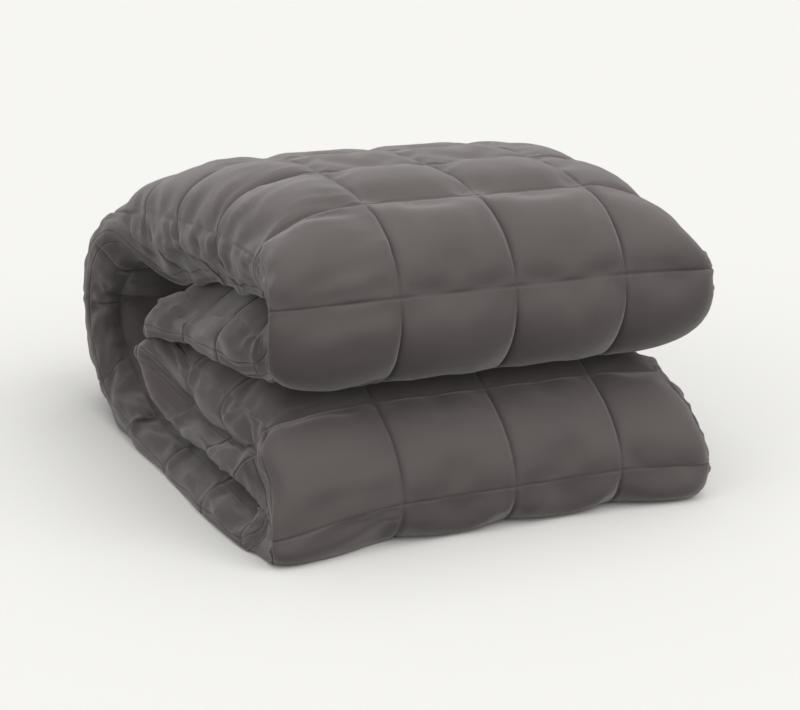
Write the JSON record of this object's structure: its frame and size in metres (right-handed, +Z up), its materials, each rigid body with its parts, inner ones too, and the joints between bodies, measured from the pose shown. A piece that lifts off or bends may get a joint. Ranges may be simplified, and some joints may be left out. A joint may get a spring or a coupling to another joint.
{
  "type": "weighted blanket",
  "caption": "Box-quilted weighted blanket in plain grey cloth, folded into a thick block that rests on a shelf, bed or floor.",
  "frame": {"origin": "middle of the footprint on the surface that the blanket rests on", "axes": "+X along the front folds, from the end seen in front to the far end; +Y from the front folds to the back bend; +Z up"},
  "size_m": [0.4552, 0.5294, 0.2752],
  "materials": {
    "cloth": "plain smooth warm dark grey cloth with a soft sheen, sewn in squares with thread of the same colour"
  },
  "bodies": {
    "root": {"blanket": "cloth"}
  },
  "joints": []
}
